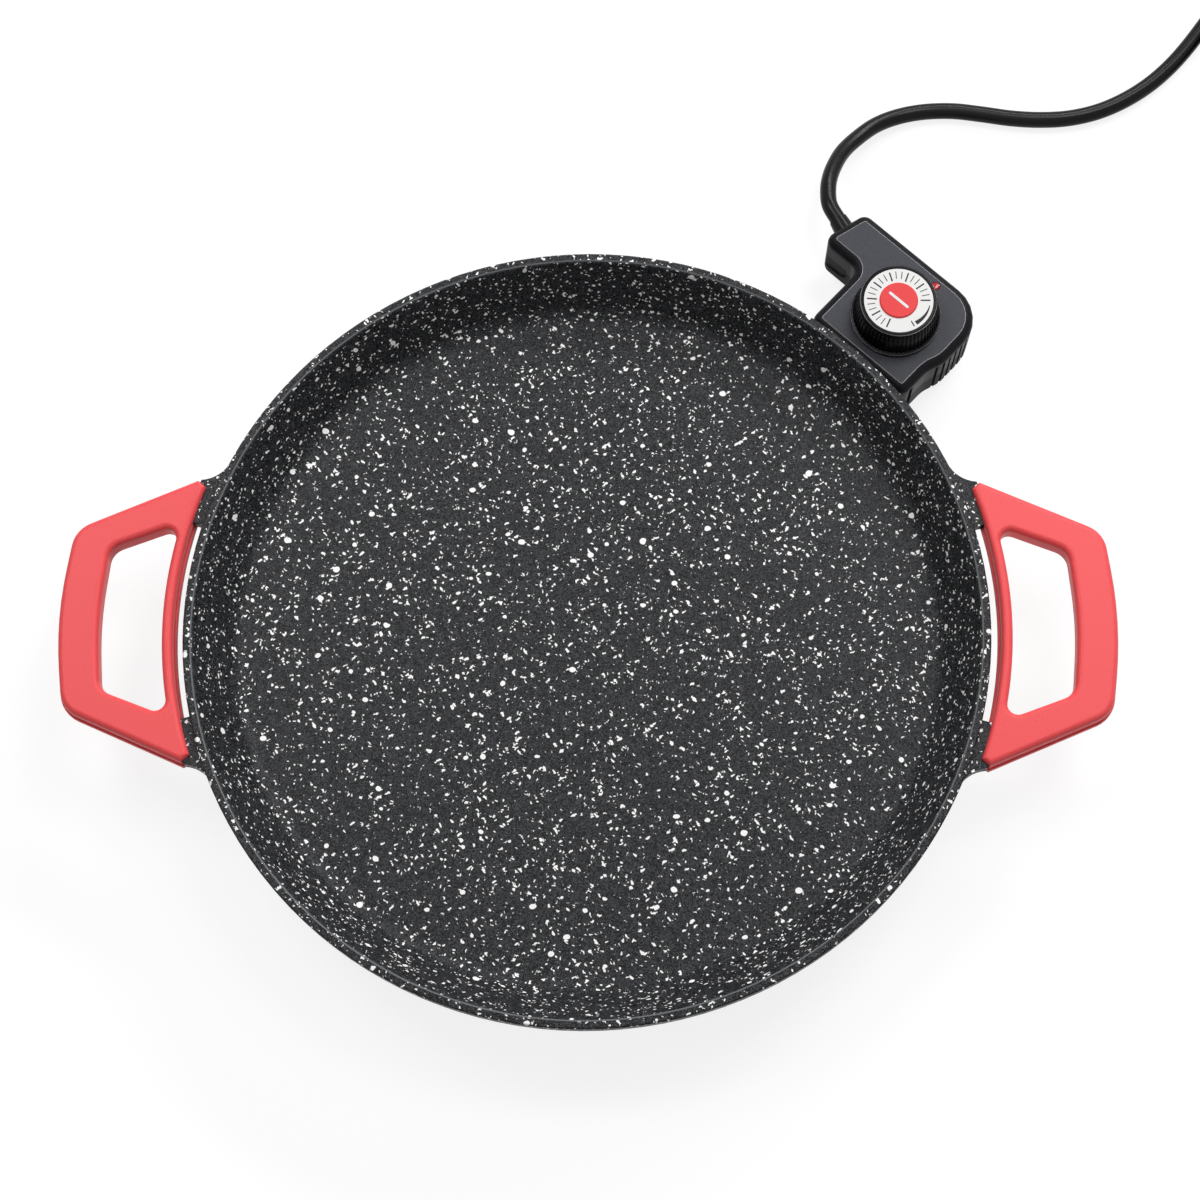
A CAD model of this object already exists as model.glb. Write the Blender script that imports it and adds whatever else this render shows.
# Electric table grill: a speckled pan with red handles and a plug-in heat controller.
# Metres, +Z up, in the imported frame. A size in millimetres is turned to metres by MM.
import math

import bmesh
import bpy
from mathutils import Matrix, Vector
from mathutils.geometry import intersect_point_line


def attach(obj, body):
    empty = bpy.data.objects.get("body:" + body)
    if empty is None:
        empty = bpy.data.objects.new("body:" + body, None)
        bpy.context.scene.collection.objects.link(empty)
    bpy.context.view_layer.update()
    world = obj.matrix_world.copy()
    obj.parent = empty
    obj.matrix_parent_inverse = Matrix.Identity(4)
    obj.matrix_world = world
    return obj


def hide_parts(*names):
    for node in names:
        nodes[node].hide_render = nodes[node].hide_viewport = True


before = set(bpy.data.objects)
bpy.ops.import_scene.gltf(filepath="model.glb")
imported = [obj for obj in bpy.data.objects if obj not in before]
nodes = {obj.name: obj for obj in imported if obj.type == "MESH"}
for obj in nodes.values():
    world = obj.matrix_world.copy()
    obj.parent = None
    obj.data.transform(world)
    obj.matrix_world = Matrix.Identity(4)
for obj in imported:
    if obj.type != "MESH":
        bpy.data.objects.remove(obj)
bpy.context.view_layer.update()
scene = bpy.context.scene
MM = 0.001


# Camera at the photograph's viewing angle
PHOTO_PX = 1200
SENSOR = 36.0
FOCAL_PX = 2416.0
CAMERA_TILT = math.radians(17.4)
CAMERA_ROLL = math.radians(0.20)
CAMERA_YAW = math.radians(-1.38)
CAMERA_AIM = Vector((7, 12, 60)) * MM
CAMERA_REACH = 1200 * MM
CAMERA_FAR = 20.0


def add_camera():
    """The photograph's view: tilted from straight down, then yawed and rolled a little."""
    ahead = Vector((0, math.sin(CAMERA_TILT), -math.cos(CAMERA_TILT)))
    right = Vector((1, 0, 0))
    up = right.cross(ahead)
    side = right * math.cos(CAMERA_YAW) - ahead * math.sin(CAMERA_YAW)
    look = ahead * math.cos(CAMERA_YAW) + right * math.sin(CAMERA_YAW)
    right = side * math.cos(CAMERA_ROLL) + up * math.sin(CAMERA_ROLL)
    up = up * math.cos(CAMERA_ROLL) - side * math.sin(CAMERA_ROLL)
    data = bpy.data.cameras.new("photo_camera")
    data.sensor_width = SENSOR
    data.lens = SENSOR * FOCAL_PX / PHOTO_PX
    data.clip_end = CAMERA_FAR
    camera = bpy.data.objects.new("photo_camera", data)
    camera.matrix_world = Matrix.LocRotScale(
        CAMERA_AIM - look * CAMERA_REACH,
        Matrix((right, up, -look)).transposed().to_quaternion(),
        None,
    )
    scene.collection.objects.link(camera)
    scene.camera = camera


add_camera()


# Mains lead: the route and the stored coil that the source gives, in millimetres
CORD_D = 8.8
CORD_REST = CORD_D / 2
CORD_EXIT = (131.82, 237.17, 25.5)
CORD_ROUTE = [
    CORD_EXIT, (127.76, 244.98, 25.5), (126.8, 252, 24.4), (127.5, 261.5, 22.4),
    (130.5, 272, 19.2), (136, 283.5, 15), (144.5, 294, 11), (155, 303.5, CORD_REST + 3.4),
    (167.5, 310, CORD_REST + 1), (182, 313.5, CORD_REST), (198, 314, CORD_REST),
    (214, 312, CORD_REST), (230, 309.5, CORD_REST), (246, 308.5, CORD_REST),
    (262, 309.5, CORD_REST), (278, 313.5, CORD_REST), (293, 320.5, CORD_REST),
    (307, 330, CORD_REST), (319.5, 341.5, CORD_REST + 0.2), (331, 355, CORD_REST + 0.7),
]
COIL_AT = Vector((403, 357, 0))
COIL_R = 57.0
COIL_PITCH = CORD_D + 0.8
COIL_Z = CORD_REST + 1.2
PLUG_AXIS_Z = 18.5
COIL_START = 144.0
COIL_TURNS = 4.4
COIL_STEPS = 36
COIL_TAIL = 12.0
# Turns at which the coil starts on its second layer, and on its way up to the plug, and how
# long each climb takes
LAYER_FROM = 1.95
LAYER_SPAN = 0.5
PLUG_FROM = 4.1
PLUG_SPAN = 0.3
ROUTE_STEPS = 6
CORD_ROUNDNESS = 12


def coil_way(turn):
    """The direction in which the coil runs on at that turn."""
    angle = math.radians(COIL_START - 360 * turn)
    return Vector((math.sin(angle), -math.cos(angle), 0))


def climb(turn, start, span):
    """How much of a climb is done at that turn, from 0 to 1."""
    return min(max((turn - start) / span, 0), 1)


def coil_point(turn):
    """A point of the coil: inwards on the lower layer, outwards again on the upper one."""
    angle = math.radians(COIL_START - 360 * turn)
    radius = COIL_R - COIL_PITCH * min(turn, COIL_TURNS - turn)
    height = (COIL_Z + COIL_PITCH * climb(turn, LAYER_FROM, LAYER_SPAN)
              + (PLUG_AXIS_Z - COIL_Z - COIL_PITCH) * climb(turn, PLUG_FROM, PLUG_SPAN))
    return COIL_AT + Vector((radius * math.cos(angle), radius * math.sin(angle), height))


def smooth_route(points, steps):
    """Points on one smooth curve through the given ones."""
    points = [Vector(p) for p in points]
    ends = [points[0] * 2 - points[1]] + points + [points[-1] * 2 - points[-2]]
    smooth = []
    for a, b, c, d in zip(ends, ends[1:], ends[2:], ends[3:]):
        for i in range(steps):
            t = i / steps
            smooth.append(0.5 * (2 * b + (c - a) * t + (2 * a - 5 * b + 4 * c - d) * t ** 2
                                 + (3 * b - a - 3 * c + d) * t ** 3))
    return smooth + [points[-1]]


def cord_points():
    """The whole lead's centre line in metres: the free route, then the coil."""
    coil_first = coil_point(0) - coil_way(0) * COIL_TAIL
    coil_last = coil_point(COIL_TURNS) + coil_way(COIL_TURNS) * COIL_TAIL
    count = round(COIL_TURNS * COIL_STEPS)
    turns = [coil_point(COIL_TURNS * i / count) for i in range(count + 1)]
    free = smooth_route(CORD_ROUTE + [coil_first - coil_way(0) * CORD_D, coil_first], ROUTE_STEPS)
    return [p * MM for p in free + turns + [coil_last]]


def add_cord():
    """The lead as a round curve, and its length."""
    points = cord_points()
    data = bpy.data.curves.new("mains_lead", "CURVE")
    data.dimensions = "3D"
    data.bevel_depth = CORD_D / 2 * MM
    data.bevel_resolution = CORD_ROUNDNESS
    data.use_fill_caps = True
    spline = data.splines.new("POLY")
    spline.points.add(len(points) - 1)
    for place, point in zip(spline.points, points):
        place.co = (*point, 1)
    spline.use_smooth = True
    lead = bpy.data.objects.new("mains_lead", data)
    scene.collection.objects.link(lead)
    return lead, sum((b - a).length for a, b in zip(points, points[1:]))


mains_lead, lead_length = add_cord()


# Materials
def srgb(hex_code):
    """An sRGB hex value as linear red, green, blue and alpha."""
    parts = [int(hex_code[i:i + 2], 16) / 255 for i in (1, 3, 5)]
    return (*[p / 12.92 if p <= 0.04045 else ((p + 0.055) / 1.055) ** 2.4 for p in parts], 1)


def node(tree, kind, inputs=None, **settings):
    """Add a node with its settings, and set or link each of its inputs."""
    made = tree.nodes.new(kind)
    for key, value in settings.items():
        setattr(made, key, value)
    for key, value in (inputs or {}).items():
        if isinstance(value, bpy.types.NodeSocket):
            tree.links.new(value, made.inputs[key])
        else:
            made.inputs[key].default_value = value
    return made


def start_finish(name, **sockets):
    """A material with its shader's constant sockets set, and the object's own coordinates."""
    made = bpy.data.materials.new(name)
    made.use_nodes = True
    tree = made.node_tree
    shader = tree.nodes["Principled BSDF"]
    for key, value in sockets.items():
        shader.inputs[key.replace("_", " ")].default_value = value
    place = node(tree, "ShaderNodeTexCoord").outputs["Object"]
    return made, tree, shader, place


def per_mm(size):
    """A pattern scale for features of that size in millimetres."""
    return 1 / (size * MM)


# Range of the grain's noise that carries nearly all of its contrast
GRAIN_LOW = 0.3
GRAIN_HIGH = 0.7


def two_tone(name, dark, light, grain, swing, bump, stretch=(1, 1, 1), **sockets):
    """A surface whose colour, roughness and height all follow one grain of a size in millimetres.
    Moulded and plated grains are finer than that and wouldn't show, so they are drawn coarser."""
    made, tree, shader, place = start_finish(name, **sockets)
    drawn_out = node(tree, "ShaderNodeMapping", {"Vector": place, "Scale": stretch})
    noise = node(tree, "ShaderNodeTexNoise",
                 {"Vector": drawn_out.outputs[0], "Scale": per_mm(grain), "Detail": 3.0})
    share = node(tree, "ShaderNodeMapRange",
                 {"Value": noise.outputs[0], "From Min": GRAIN_LOW, "From Max": GRAIN_HIGH})
    tone = node(tree, "ShaderNodeMix",
                {0: share.outputs[0], 6: srgb(dark), 7: srgb(light)}, data_type="RGBA")
    rough = node(tree, "ShaderNodeMapRange",
                 {"Value": noise.outputs[0], "From Min": GRAIN_LOW, "From Max": GRAIN_HIGH,
                  "To Min": swing[0], "To Max": swing[1]})
    relief = node(tree, "ShaderNodeBump",
                  {"Height": noise.outputs[0], "Distance": bump * MM, "Strength": 1.0})
    tree.links.new(tone.outputs[2], shader.inputs["Base Color"])
    tree.links.new(rough.outputs[0], shader.inputs["Roughness"])
    tree.links.new(relief.outputs[0], shader.inputs["Normal"])
    return made


# Flecks of the coat: cell, largest radius and waver in millimetres, the share of cells that
# hold one, and how far and in which direction they are drawn out
FLECKS = [
    (7.5, 1.6, 0.9, 0.26, 1.15, 0),
    (2.9, 0.78, 1.0, 0.50, 2.0, 35),
    (2.9, 0.78, 1.0, 0.50, 2.0, 128),
    (1.7, 0.42, 0.7, 0.42, 2.4, 80),
    (1.7, 0.42, 0.7, 0.42, 2.4, 163),
]
FLECK_EDGE = 0.05
# Smallest fleck of a size against its largest, and the drift's size against the cell
FLECK_LEAST = 0.45
FLECK_DRIFT = 0.55
# Mottle of the coat's ground: size in millimetres, how far it swirls, and the part of its noise
# that goes from the dark tone to the light one
MOTTLE = 1.7
MOTTLE_SWIRL = 2.6
MOTTLE_RANGE = (0.44, 0.62)
# Height of the coat's relief in millimetres, and the share of it that a fleck stands up
PEEL = 0.05
FLECK_RISE = 0.4
# Rim's inner arris, where the coat is rubbed thin: radius, half width and least height in
# millimetres
ARRIS_R = 196.0
ARRIS_HALF = 0.35
ARRIS_LOW = 61.0


def stone_coat():
    # Sprayed non-stick coat on cast aluminium: charcoal, finely mottled, strewn with white
    # flecks of three sizes, satin with a slight orange peel
    made, tree, shader, place = start_finish("sprayed_stone_fleck_coat", Specular_IOR_Level=0.12)
    mottle = node(tree, "ShaderNodeTexNoise",
                  {"Vector": place, "Scale": per_mm(MOTTLE), "Detail": 2.0,
                   "Distortion": MOTTLE_SWIRL})
    ground = node(tree, "ShaderNodeMapRange",
                  {"Value": mottle.outputs[0], "From Min": MOTTLE_RANGE[0],
                   "From Max": MOTTLE_RANGE[1]})
    colour = node(tree, "ShaderNodeMix",
                  {0: ground.outputs[0], 6: srgb("#050607"), 7: srgb("#454649")}, data_type="RGBA")
    flecks = None
    for cell, radius, waver, share, drawn, turn in FLECKS:
        drift = node(tree, "ShaderNodeTexNoise",
                     {"Vector": place, "Scale": per_mm(cell * FLECK_DRIFT), "Detail": 1.0})
        bend = node(tree, "ShaderNodeVectorMath",
                    {0: drift.outputs["Color"], 1: (0.5, 0.5, 0.5)}, operation="SUBTRACT")
        bent = node(tree, "ShaderNodeVectorMath",
                    {0: bend.outputs[0], 1: (2 * waver * MM,) * 3, 2: place},
                    operation="MULTIPLY_ADD")
        laid = node(tree, "ShaderNodeMapping",
                    {"Vector": bent.outputs[0], "Scale": (drawn, 1, 1),
                     "Rotation": (0, 0, math.radians(turn))}, vector_type="TEXTURE")
        cells = node(tree, "ShaderNodeTexVoronoi",
                     {"Vector": laid.outputs[0], "Scale": per_mm(cell)})
        draw = node(tree, "ShaderNodeSeparateColor", {0: cells.outputs["Color"]})
        reach = node(tree, "ShaderNodeMapRange",
                     {"Value": draw.outputs[1], "To Min": FLECK_LEAST * radius / cell,
                      "To Max": radius / cell})
        depth = node(tree, "ShaderNodeMath",
                     {0: reach.outputs[0], 1: cells.outputs["Distance"]}, operation="SUBTRACT")
        inside = node(tree, "ShaderNodeMapRange",
                      {"Value": depth.outputs[0], "From Min": 0.0, "From Max": FLECK_EDGE / cell})
        held = node(tree, "ShaderNodeMath", {0: draw.outputs[0], 1: share}, operation="LESS_THAN")
        layer = node(tree, "ShaderNodeMath",
                     {0: inside.outputs[0], 1: held.outputs[0]}, operation="MULTIPLY")
        if flecks is None:
            flecks = layer
        else:
            flecks = node(tree, "ShaderNodeMath",
                          {0: flecks.outputs[0], 1: layer.outputs[0]}, operation="MAXIMUM")
    colour = node(tree, "ShaderNodeMix",
                  {0: flecks.outputs[0], 6: colour.outputs[2], 7: srgb("#FEFEFC")}, data_type="RGBA")
    flat = node(tree, "ShaderNodeVectorMath", {0: place, 1: (1, 1, 0)}, operation="MULTIPLY")
    radius = node(tree, "ShaderNodeVectorMath", {0: flat.outputs[0]}, operation="LENGTH")
    on_arris = node(tree, "ShaderNodeMath",
                    {0: radius.outputs["Value"], 1: ARRIS_R * MM, 2: ARRIS_HALF * MM},
                    operation="COMPARE")
    height_of = node(tree, "ShaderNodeSeparateXYZ", {0: place})
    on_top = node(tree, "ShaderNodeMath",
                  {0: height_of.outputs[2], 1: ARRIS_LOW * MM}, operation="GREATER_THAN")
    rubbed = node(tree, "ShaderNodeMath",
                  {0: on_arris.outputs[0], 1: on_top.outputs[0]}, operation="MULTIPLY")
    colour = node(tree, "ShaderNodeMix",
                  {0: rubbed.outputs[0], 6: colour.outputs[2], 7: srgb("#6A6B6D")}, data_type="RGBA")
    rough = node(tree, "ShaderNodeMapRange",
                 {"Value": mottle.outputs[0], "To Min": 0.34, "To Max": 0.48})
    height = node(tree, "ShaderNodeMath",
                  {0: flecks.outputs[0], 1: FLECK_RISE, 2: mottle.outputs[0]},
                  operation="MULTIPLY_ADD")
    relief = node(tree, "ShaderNodeBump",
                  {"Height": height.outputs[0], "Distance": PEEL * MM, "Strength": 1.0})
    tree.links.new(colour.outputs[2], shader.inputs["Base Color"])
    tree.links.new(rough.outputs[0], shader.inputs["Roughness"])
    tree.links.new(relief.outputs[0], shader.inputs["Normal"])
    return made


def make_finishes():
    """One finish for each of the record's material slots."""
    return {
        "coated_cast_aluminium": stone_coat(),
        # Heater tube blued by heat: brown-grey metal with slow patches
        "sheathed_steel": two_tone("heat_darkened_steel", "#5C554C", "#83796C", 6.0,
                                   (0.38, 0.52), 0.02, Metallic=1.0),
        # Zinc plate: pale grey metal with a fine matt grain
        "plated_steel": two_tone("zinc_plated_steel", "#A9ABAE", "#C3C5C8", 0.8,
                                 (0.26, 0.38), 0.01, Metallic=1.0),
        # Unglazed steatite: warm white, chalky
        "ceramic": two_tone("unglazed_steatite", "#E2DDD2", "#EFEBE2", 0.9, (0.62, 0.74), 0.03),
        # Moulded nylon with a spark-eroded skin: satin coral red with a fine even grain
        "red_moulding": two_tone("spark_grained_red_nylon", "#EE5053", "#F45A5D", 0.7,
                                 (0.34, 0.44), 0.02, Specular_IOR_Level=0.2),
        # Phenolic: near black, dry, with a little filler showing
        "bakelite": two_tone("moulded_phenolic", "#17171A", "#222226", 1.2, (0.46, 0.6), 0.03,
                             Specular_IOR_Level=0.2),
        # ABS with a fine grain: dark grey satin that lifts to grey under the light
        "cover_moulding": two_tone("fine_grained_grey_abs", "#393A3F", "#494A50", 0.6,
                                   (0.40, 0.50), 0.025, Specular_IOR_Level=0.12),
        # ABS lower shell: black satin
        "base_moulding": two_tone("satin_black_abs", "#212124", "#2B2B2F", 0.8, (0.4, 0.5), 0.015,
                                  Specular_IOR_Level=0.03),
        # Rolled brass strip: yellow metal with faint rolling lines
        "contact_brass": two_tone("rolled_brass", "#B08D3C", "#C9A654", 0.5, (0.24, 0.36), 0.01,
                                  (0.2, 1, 1), Metallic=1.0),
        # Smooth ABS moulding: deep black with small soft highlights
        "dial_moulding": two_tone("polished_black_abs", "#08080A", "#0D0D10", 1.5,
                                  (0.24, 0.32), 0.006, Specular_IOR_Level=0.1),
        # Moulded styrene: plain cold white, satin, a good ground for print
        "printed_disc": two_tone("white_printed_styrene", "#DFDFDE", "#E7E7E6", 0.8,
                                 (0.4, 0.48), 0.006, Specular_IOR_Level=0.2),
        # Moulded ABS cap: satin red, a shade deeper than the handles
        "red_cap": two_tone("satin_red_abs", "#DE3E40", "#E6484A", 0.8, (0.36, 0.44), 0.012,
                            Specular_IOR_Level=0.15),
        # Tinted acrylic: red that glows a little where light passes through it
        "red_lens": two_tone("tinted_acrylic", "#C3141E", "#D91F29", 1.0, (0.1, 0.16), 0.004,
                             Transmission_Weight=0.35, IOR=1.49),
        # Drawn lamp glass: clear, thin, faintly amber
        "lamp_glass": two_tone("clear_lamp_glass", "#F0D9C8", "#F6E4D6", 2.0, (0.03, 0.08), 0.002,
                               Transmission_Weight=0.9, IOR=1.5),
        # Vinyl cord jacket: black, smooth, with a long soft streak of light
        "cord_rubber": two_tone("extruded_black_vinyl", "#070708", "#0C0C0E", 2.0,
                                (0.24, 0.28), 0.001, Specular_IOR_Level=0.14),
        # Insulation of the inner cores: brown, smooth, faintly waxy
        "wire_insulation": two_tone("extruded_core_insulation", "#5A3A22", "#6B4529", 0.8,
                                    (0.42, 0.5), 0.01),
        # Nickel plate: bright, faintly warm
        "nickel": two_tone("nickel_plated_brass", "#C2BFB8", "#D6D3CC", 0.6, (0.14, 0.24), 0.006,
                           Metallic=1.0),
    }


finishes = make_finishes()
# Cover's rounded shoulders and sides: the same shell where the mould is smoother, black satin
cover_sides = two_tone("mould_polished_black_abs", "#151517", "#1D1D20", 0.9, (0.32, 0.4), 0.01,
                       Specular_IOR_Level=0.06)
# Burnished arris: the thin edge where a moulding's skin catches the light
bright_arris = two_tone("burnished_arris", "#9A9A9E", "#B0B0B4", 0.8, (0.3, 0.4), 0.002)
# Scale print: near black ink, faintly uneven as pad printing is
scale_ink = two_tone("pad_printed_ink", "#18181A", "#28292C", 0.4, (0.42, 0.5), 0.003,
                     Specular_IOR_Level=0.15)


def slot_of(name):
    """The record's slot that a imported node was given."""
    return nodes[name].data.materials[0].name.split(".")[0]


node_slots = {name: slot_of(name) for name in nodes}
for name, part in nodes.items():
    part.data.materials.clear()
    part.data.materials.append(finishes[node_slots[name]])


def show(name, mesh):
    """A new object for a mesh, in the scene."""
    piece = bpy.data.objects.new(name, mesh)
    scene.collection.objects.link(piece)
    return piece


def settle(piece):
    """Turn what a piece's modifiers give into its plain mesh."""
    graph = bpy.context.evaluated_depsgraph_get()
    mesh = bpy.data.meshes.new_from_object(piece.evaluated_get(graph))
    piece.modifiers.clear()
    piece.data = mesh
    return piece


def finish_mesh(shape, mesh, sharp):
    """Write a shape to a mesh with smooth faces and edges kept sharp past an angle."""
    for face in shape.faces:
        face.smooth = True
    for edge in shape.edges:
        edge.smooth = len(edge.link_faces) == 2 and edge.calc_face_angle() < math.radians(sharp)
    shape.to_mesh(mesh)
    shape.free()
    if "custom_normal" in mesh.attributes:
        mesh.attributes.remove(mesh.attributes["custom_normal"])


# Chords longer than this, in millimetres, are split by this many more points
CHORD = 5.0
CHORD_CUTS = 3
# How near two heights and two radii count as equal, and a point as on its chord, in metres
LEVEL = 1e-6
EVEN = 2e-5
ON_CHORD = 1e-7
# Points nearer than this, in metres, are one, and faces within this angle are one face
MERGE = 2e-6
FLAT = math.radians(0.3)


def round_out(shape, axis):
    """Split the long level chords of arcs about an upright axis, with new points on the arcs."""
    chords = []
    for edge in shape.edges:
        a, b = (v.co - axis for v in edge.verts)
        if (abs(a.z - b.z) < LEVEL and abs(a.xy.length - b.xy.length) < EVEN
                and edge.calc_length() > CHORD * MM):
            chords.append(edge)
    spans = [([v.co.copy() for v in edge.verts], (edge.verts[0].co - axis).xy.length)
             for edge in chords]
    before = set(shape.verts)
    bmesh.ops.subdivide_edges(shape, edges=chords, cuts=CHORD_CUTS, use_grid_fill=True)
    for vert in set(shape.verts) - before:
        for (a, b), radius in spans:
            near, share = intersect_point_line(vert.co, a, b)
            if 0 < share < 1 and (near - vert.co).length < ON_CHORD:
                flat = (vert.co - axis).xy.normalized() * radius
                vert.co = Vector((axis.x + flat.x, axis.y + flat.y, vert.co.z))
                break


def dress(name, piece_name, body, edge=0.3, sharp=34, regions=None, axis=None):
    """A moulding on a faceted node: its own form, smoothly shaded. edge is the width of its soft
    edges in millimetres, and sharp the angle in degrees past which an edge is one. regions gives
    further finishes and the rule that picks each face's finish, and axis is where the node's long
    arcs have their centre."""
    mesh = nodes[name].data.copy()
    shape = bmesh.new()
    shape.from_mesh(mesh)
    bmesh.ops.remove_doubles(shape, verts=shape.verts, dist=MERGE)
    bmesh.ops.dissolve_limit(shape, angle_limit=FLAT, verts=shape.verts, edges=shape.edges)
    if axis:
        round_out(shape, axis)
    finish_mesh(shape, mesh, sharp)
    mesh.name = piece_name
    piece = show(piece_name, mesh)
    if edge:
        soft = piece.modifiers.new("soft_edges", "BEVEL")
        soft.width = edge * MM
        soft.segments = 2
        soft.limit_method = "ANGLE"
        soft.angle_limit = math.radians(sharp)
        soft.harden_normals = True
        soft.use_clamp_overlap = True
    weigh = piece.modifiers.new("face_weights", "WEIGHTED_NORMAL")
    weigh.keep_sharp = True
    settle(piece)
    if regions:
        kinds, pick = regions
        piece.data.materials.clear()
        for kind in kinds:
            piece.data.materials.append(kind)
        for face in piece.data.polygons:
            face.material_index = pick(face)
    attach(piece, body)
    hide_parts(name)
    return piece


# Height of the cover's shoulders in millimetres, under the top panel, and where the handles' arcs
# have their centre
SHOULDER_TOP = 42.02
HANDLE_AXIS = Vector((0, 1.7, 0)) * MM
# Upward part of a face's normal: the least of an edge that shows from above, and of a flat top
LEAST_UP = 0.2
FLAT_UP = 0.97


def cover_region(face):
    """0 for shoulders and sides, 1 for the flat top, 2 for the top panel's thin edge."""
    if face.center.z < SHOULDER_TOP * MM or face.normal.z < LEAST_UP:
        return 0
    return 1 if face.normal.z > FLAT_UP else 2


dress("handle_left", "left_ring_handle", "griddle", 0, axis=HANDLE_AXIS)
dress("handle_right", "right_ring_handle", "griddle", 0, axis=HANDLE_AXIS)
dress("controller_cover", "controller_top_shell", "controller", 0,
      regions=((cover_sides, finishes["cover_moulding"], bright_arris), cover_region))
dress("controller_base", "controller_lower_shell", "controller", 0.25)
dress("lead_wires", "inner_leads", "controller", 0, 60)


# Mains lead on its body, in place of the two wound solids
mains_lead.data.materials.append(finishes["cord_rubber"])
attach(mains_lead, "controller")
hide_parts("power_cord", "cord_coil")


# Dial: sizes of the knob and its print, in millimetres
DIAL_AT = Vector((159.101, 173.629, 0)) * MM
DIAL_SIDES = 96
KNOB_BOTTOM = 42.8
KNOB_TOP = 61.8
SKIRT_TOP = 44.8
RING_FOOT = 59.3
DISC_TOP = 61.5
RIB_COUNT = 60
RIB_FOOT_R = 22.0
RIB_TOP_R = 20.0
RIB_R = 0.5
RIB_SIDES = 10


def turned(profile, at, steps):
    """A closed solid of revolution from radius and height pairs, in millimetres."""
    shape = bmesh.new()
    rings = []
    for radius, height in profile:
        if radius == 0:
            rings.append([shape.verts.new(at + Vector((0, 0, height * MM)))])
            continue
        ring = []
        for i in range(steps):
            angle = 2 * math.pi * i / steps
            ring.append(shape.verts.new(at + Vector((
                radius * MM * math.cos(angle), radius * MM * math.sin(angle), height * MM))))
        rings.append(ring)
    for lower, upper in zip(rings, rings[1:]):
        for i in range(steps):
            j = (i + 1) % steps
            corners = [lower[i % len(lower)], lower[j % len(lower)],
                       upper[j % len(upper)], upper[i % len(upper)]]
            shape.faces.new(list(dict.fromkeys(corners)))
    bmesh.ops.recalc_face_normals(shape, faces=shape.faces)
    return shape


KNOB_PROFILE = [
    (0, 57.8), (3.1, 57.8), (3.1, 45.8), (5.5, 45.8), (5.5, 58.8), (17.3, 58.8), (20.0, KNOB_BOTTOM),
    (23.0, KNOB_BOTTOM), (23.35, 42.95), (23.5, 43.3), (23.5, 44.3), (23.35, 44.65),
    (23.0, SKIRT_TOP), (22.3, SKIRT_TOP), (RIB_FOOT_R, 45.0), (RIB_TOP_R, RING_FOOT), (19.8, 59.5),
    (19.8, 61.1), (19.6, 61.58), (19.1, KNOB_TOP), (18.25, KNOB_TOP), (17.9, 61.5), (17.9, 60.7),
    (0, 60.7),
]


# Heights between which the skirt's and the ring's edges catch the light, the upward part of the
# normal there, and the angle in degrees past which the knob's edges are sharp
KNOB_ARRISES = [(44.4, 44.6), (61.2, 61.4)]
ARRIS_UP = (0.05, 0.95)
KNOB_SHARP = 40


def ring_tree(name, element, sizes):
    """A tree that sets one element round an axis at even angles; sizes names its float inputs."""
    tree = bpy.data.node_groups.new(name, "GeometryNodeTree")
    sockets = tree.interface
    sockets.new_socket("Geometry", in_out="OUTPUT", socket_type="NodeSocketGeometry")
    sockets.new_socket("Count", in_out="INPUT", socket_type="NodeSocketInt")
    for size in ["First Angle", "Step Angle", "Radius", "Height", "Lean"] + sizes:
        sockets.new_socket(size, in_out="INPUT", socket_type="NodeSocketFloat")
    sockets.new_socket("Centre", in_out="INPUT", socket_type="NodeSocketVector")
    sockets.new_socket("Material", in_out="INPUT", socket_type="NodeSocketMaterial")
    given = node(tree, "NodeGroupInput").outputs
    points = node(tree, "GeometryNodeMeshLine", {"Count": given["Count"], "Offset": (0, 0, 0)})
    place = node(tree, "ShaderNodeCombineXYZ", {0: given["Radius"], 2: given["Height"]})
    lean = node(tree, "ShaderNodeCombineXYZ", {1: given["Lean"]})
    set_out = node(tree, "GeometryNodeTransform",
                   {"Geometry": element(tree, given), "Translation": place.outputs[0],
                    "Rotation": lean.outputs[0]})
    index = node(tree, "GeometryNodeInputIndex")
    angle = node(tree, "ShaderNodeMath",
                 {0: index.outputs[0], 1: given["Step Angle"], 2: given["First Angle"]},
                 operation="MULTIPLY_ADD")
    turn = node(tree, "ShaderNodeCombineXYZ", {2: angle.outputs[0]})
    ring = node(tree, "GeometryNodeInstanceOnPoints",
                {"Points": points.outputs[0], "Instance": set_out.outputs[0],
                 "Rotation": turn.outputs[0]})
    whole = node(tree, "GeometryNodeRealizeInstances", {0: ring.outputs[0]})
    moved = node(tree, "GeometryNodeTransform",
                 {"Geometry": whole.outputs[0], "Translation": given["Centre"]})
    coated = node(tree, "GeometryNodeSetMaterial",
                  {"Geometry": moved.outputs[0], "Material": given["Material"]})
    node(tree, "NodeGroupOutput", {0: coated.outputs[0]})
    return tree


def bar_element(tree, given):
    """A flat bar, for a tick of the scale."""
    size = node(tree, "ShaderNodeCombineXYZ",
                {0: given["Length"], 1: given["Width"], 2: given["Thickness"]})
    return node(tree, "GeometryNodeMeshCube", {"Size": size.outputs[0]}).outputs[0]


def rib_element(tree, given):
    """A round rib, for the dial's grip."""
    rib = node(tree, "GeometryNodeMeshCylinder",
               {"Vertices": RIB_SIDES, "Radius": given["Rib Radius"], "Depth": given["Length"]})
    return rib.outputs[0]


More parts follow.
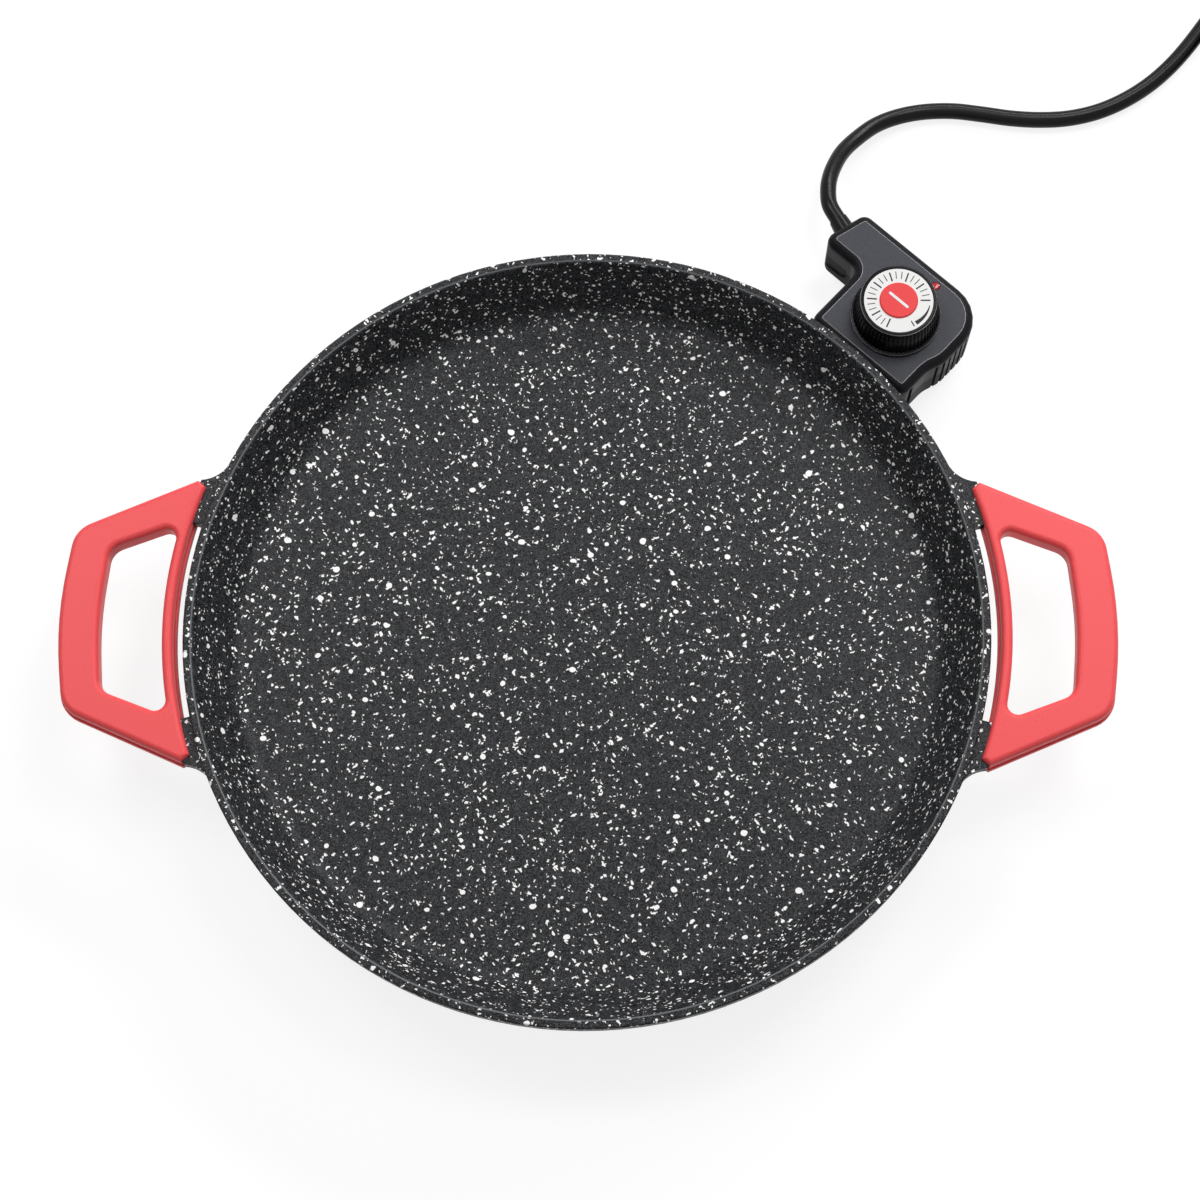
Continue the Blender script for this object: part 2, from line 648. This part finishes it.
def grow_ring(name, tree, body, slot, **values):
    """A ring of like elements as one plain mesh on a body."""
    piece = show(name, bpy.data.meshes.new(name))
    grown = piece.modifiers.new("ring", "NODES")
    grown.node_group = tree
    for item in tree.interface.items_tree:
        if item.in_out == "INPUT":
            grown[item.identifier] = values[item.name.replace(" ", "_").lower()]
    settle(piece)
    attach(piece, body)
    return piece


def add_knob():
    """The dial's turned body, with its ring of grip ribs."""
    mesh = bpy.data.meshes.new("dial_grip_body")
    finish_mesh(turned(KNOB_PROFILE, DIAL_AT, DIAL_SIDES), mesh, KNOB_SHARP)
    mesh.materials.append(finishes["dial_moulding"])
    mesh.materials.append(bright_arris)
    for face in mesh.polygons:
        height = face.center.z / MM
        face.material_index = int(any(low < height < high for low, high in KNOB_ARRISES)
                                  and ARRIS_UP[0] < face.normal.z < ARRIS_UP[1])
    knob = show("dial_grip_body", mesh)
    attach(knob, "dial")
    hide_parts("dial_knob")
    rise = RING_FOOT - SKIRT_TOP
    fall = RIB_FOOT_R - RIB_TOP_R
    ribs = grow_ring(
        "dial_grip_ribs", ring_tree("ribs_round_dial", rib_element, ["Rib Radius", "Length"]),
        "dial", "dial_moulding", count=RIB_COUNT, first_angle=0.0,
        step_angle=2 * math.pi / RIB_COUNT, radius=(RIB_FOOT_R + RIB_TOP_R) / 2 * MM,
        height=(RING_FOOT + SKIRT_TOP) / 2 * MM, lean=-math.atan2(fall, rise), rib_radius=RIB_R * MM,
        length=math.hypot(rise, fall) * MM, centre=DIAL_AT, material=finishes["dial_moulding"],
    )
    for face in ribs.data.polygons:
        face.use_smooth = len(face.vertices) == 4


# Scale print, in degrees and millimetres: ticks run clockwise, then a wedge and an end line
TICK_FIRST = 246.0
TICK_STEP = 11.7
TICK_COUNT = 22
HEAVY_EVERY = 3
TICK_OUT = 16.3
HEAVY_IN = 11.2
HEAVY_W = 0.75
LIGHT_IN = 12.2
LIGHT_W = 0.42
END_LINE = -62.0
END_IN = 13.0
END_W = 0.6
PRINT_T = 0.06
WEDGE_FROM = -10.0
WEDGE_TO = -56.0
WEDGE_IN = 15.9
WEDGE_W = 1.9
WEDGE_STEPS = 14
WEDGE_SHARP = 30


def add_print():
    """The scale's ticks and its end line."""
    tree = ring_tree("ticks_on_scale", bar_element, ["Length", "Width", "Thickness"])
    heavy = math.ceil(TICK_COUNT / HEAVY_EVERY)
    apart = TICK_STEP * HEAVY_EVERY
    rows = [
        ("scale_heavy_ticks", heavy, TICK_FIRST, apart, HEAVY_IN, HEAVY_W),
        ("scale_ticks_a", heavy - 1, TICK_FIRST - TICK_STEP, apart, LIGHT_IN, LIGHT_W),
        ("scale_ticks_b", heavy - 1, TICK_FIRST - 2 * TICK_STEP, apart, LIGHT_IN, LIGHT_W),
        ("scale_end_line", 1, END_LINE, 0.0, END_IN, END_W),
    ]
    for name, count, first, step, inner, width in rows:
        grow_ring(
            name, tree, "dial", "printed_disc", count=count, first_angle=math.radians(first),
            step_angle=-math.radians(step), radius=(inner + TICK_OUT) / 2 * MM,
            height=(DISC_TOP + PRINT_T / 2) * MM, lean=0.0, length=(TICK_OUT - inner) * MM,
            width=width * MM, thickness=PRINT_T * MM, centre=DIAL_AT, material=scale_ink,
        )


def add_wedge():
    """The printed wedge that grows with the heat, a thin raised sliver on an arc."""
    shape = bmesh.new()
    top = DIAL_AT + Vector((0, 0, (DISC_TOP + PRINT_T) * MM))
    foot = DIAL_AT + Vector((0, 0, DISC_TOP * MM))
    rows = []
    for i in range(WEDGE_STEPS + 1):
        share = i / WEDGE_STEPS
        angle = math.radians(WEDGE_FROM + (WEDGE_TO - WEDGE_FROM) * share)
        way = Vector((math.cos(angle), math.sin(angle), 0)) * MM
        inner = WEDGE_IN - WEDGE_W * share
        section = ((foot, inner), (foot, TICK_OUT), (top, TICK_OUT), (top, inner))
        rows.append([shape.verts.new(base + way * radius) for base, radius in section])
    for a, b in zip(rows, rows[1:]):
        for i in range(4):
            j = (i + 1) % 4
            shape.faces.new((a[i], a[j], b[j], b[i]))
    shape.faces.new(rows[0])
    shape.faces.new(rows[-1])
    bmesh.ops.recalc_face_normals(shape, faces=shape.faces)
    mesh = bpy.data.meshes.new("scale_heat_wedge")
    finish_mesh(shape, mesh, WEDGE_SHARP)
    mesh.materials.append(scale_ink)
    wedge = show("scale_heat_wedge", mesh)
    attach(wedge, "dial")


add_knob()
add_print()
add_wedge()


# Floor, light and background
# Floor: half its width in metres, and how far it lies under the feet in millimetres
FLOOR_HALF = 4.0
FLOOR_DROP = 0.3
# Share of the floor's white that takes no shadow, and its strength
FLOOR_GLOW = 0.79
GLOW_STRENGTH = 1.07
# Background's strength as a light on the object
SKY_LIGHT = 0.1
# Softboxes: name, place and aim in metres, width and height in metres, and power in watts
LAMPS = [
    ("top_softbox", (0, -0.1, 2.2), (0, 0, 0), (1.5, 1.3), 6),
    ("rear_right_softbox", (0.75, 0.85, 2.0), (0, 0, 0.05), (0.7, 0.7), 16),
    ("rear_left_softbox", (-0.85, 0.8, 2.0), (0, 0, 0.05), (0.7, 0.7), 14),
    ("low_rear_strip", (0.8, 1.5, 1.15), (0, 0, 0.05), (1.6, 0.22), 21),
]


def white_seen(tree):
    """1 for a ray from the camera, a glossy surface or a clear one, to which the studio is white."""
    path = node(tree, "ShaderNodeLightPath").outputs
    seen = node(tree, "ShaderNodeMath",
                {0: path["Is Camera Ray"], 1: path["Is Glossy Ray"]}, operation="MAXIMUM")
    return node(tree, "ShaderNodeMath",
                {0: seen.outputs[0], 1: path["Is Transmission Ray"]}, operation="MAXIMUM")


def add_floor():
    # Matt white sweep: white to the eye, with the object's shadow left on it
    made, tree, shader, _ = start_finish("matt_white_sweep", Base_Color=srgb("#FAFAFA"),
                                         Roughness=0.9, Specular_IOR_Level=0.0)
    seen = white_seen(tree)
    share = node(tree, "ShaderNodeMath", {0: seen.outputs[0], 1: FLOOR_GLOW}, operation="MULTIPLY")
    glow = node(tree, "ShaderNodeEmission", {"Color": (1, 1, 1, 1), "Strength": GLOW_STRENGTH})
    mixed = node(tree, "ShaderNodeMixShader",
                 {0: share.outputs[0], 1: shader.outputs[0], 2: glow.outputs[0]})
    tree.links.new(mixed.outputs[0], tree.nodes["Material Output"].inputs["Surface"])
    mesh = bpy.data.meshes.new("studio_floor")
    corners = [(x * FLOOR_HALF, y * FLOOR_HALF, -FLOOR_DROP * MM)
               for x, y in ((-1, -1), (1, -1), (1, 1), (-1, 1))]
    mesh.from_pydata(corners, [], [(0, 1, 2, 3)])
    mesh.materials.append(made)
    show("studio_floor", mesh)


def add_world():
    """A white background to what sees it, and a faint even light on the object."""
    world = bpy.data.worlds.new("studio")
    world.use_nodes = True
    tree = world.node_tree
    seen = white_seen(tree)
    sky = node(tree, "ShaderNodeMapRange",
               {"Value": seen.outputs[0], "To Min": SKY_LIGHT, "To Max": 1.0})
    tree.links.new(sky.outputs[0], tree.nodes["Background"].inputs["Strength"])
    tree.nodes["Background"].inputs["Color"].default_value = (1, 1, 1, 1)
    scene.world = world


def add_lamp(name, place, aim, size, power):
    """A flat soft lamp that faces its aim."""
    data = bpy.data.lights.new(name, "AREA")
    data.shape = "RECTANGLE"
    data.size, data.size_y = size
    data.energy = power
    lamp = bpy.data.objects.new(name, data)
    place, aim = Vector(place), Vector(aim)
    lamp.location = place
    lamp.rotation_euler = (aim - place).to_track_quat("-Z", "Y").to_euler()
    scene.collection.objects.link(lamp)


add_floor()
add_world()
for lamp_row in LAMPS:
    add_lamp(*lamp_row)
scene.view_settings.view_transform = "Standard"
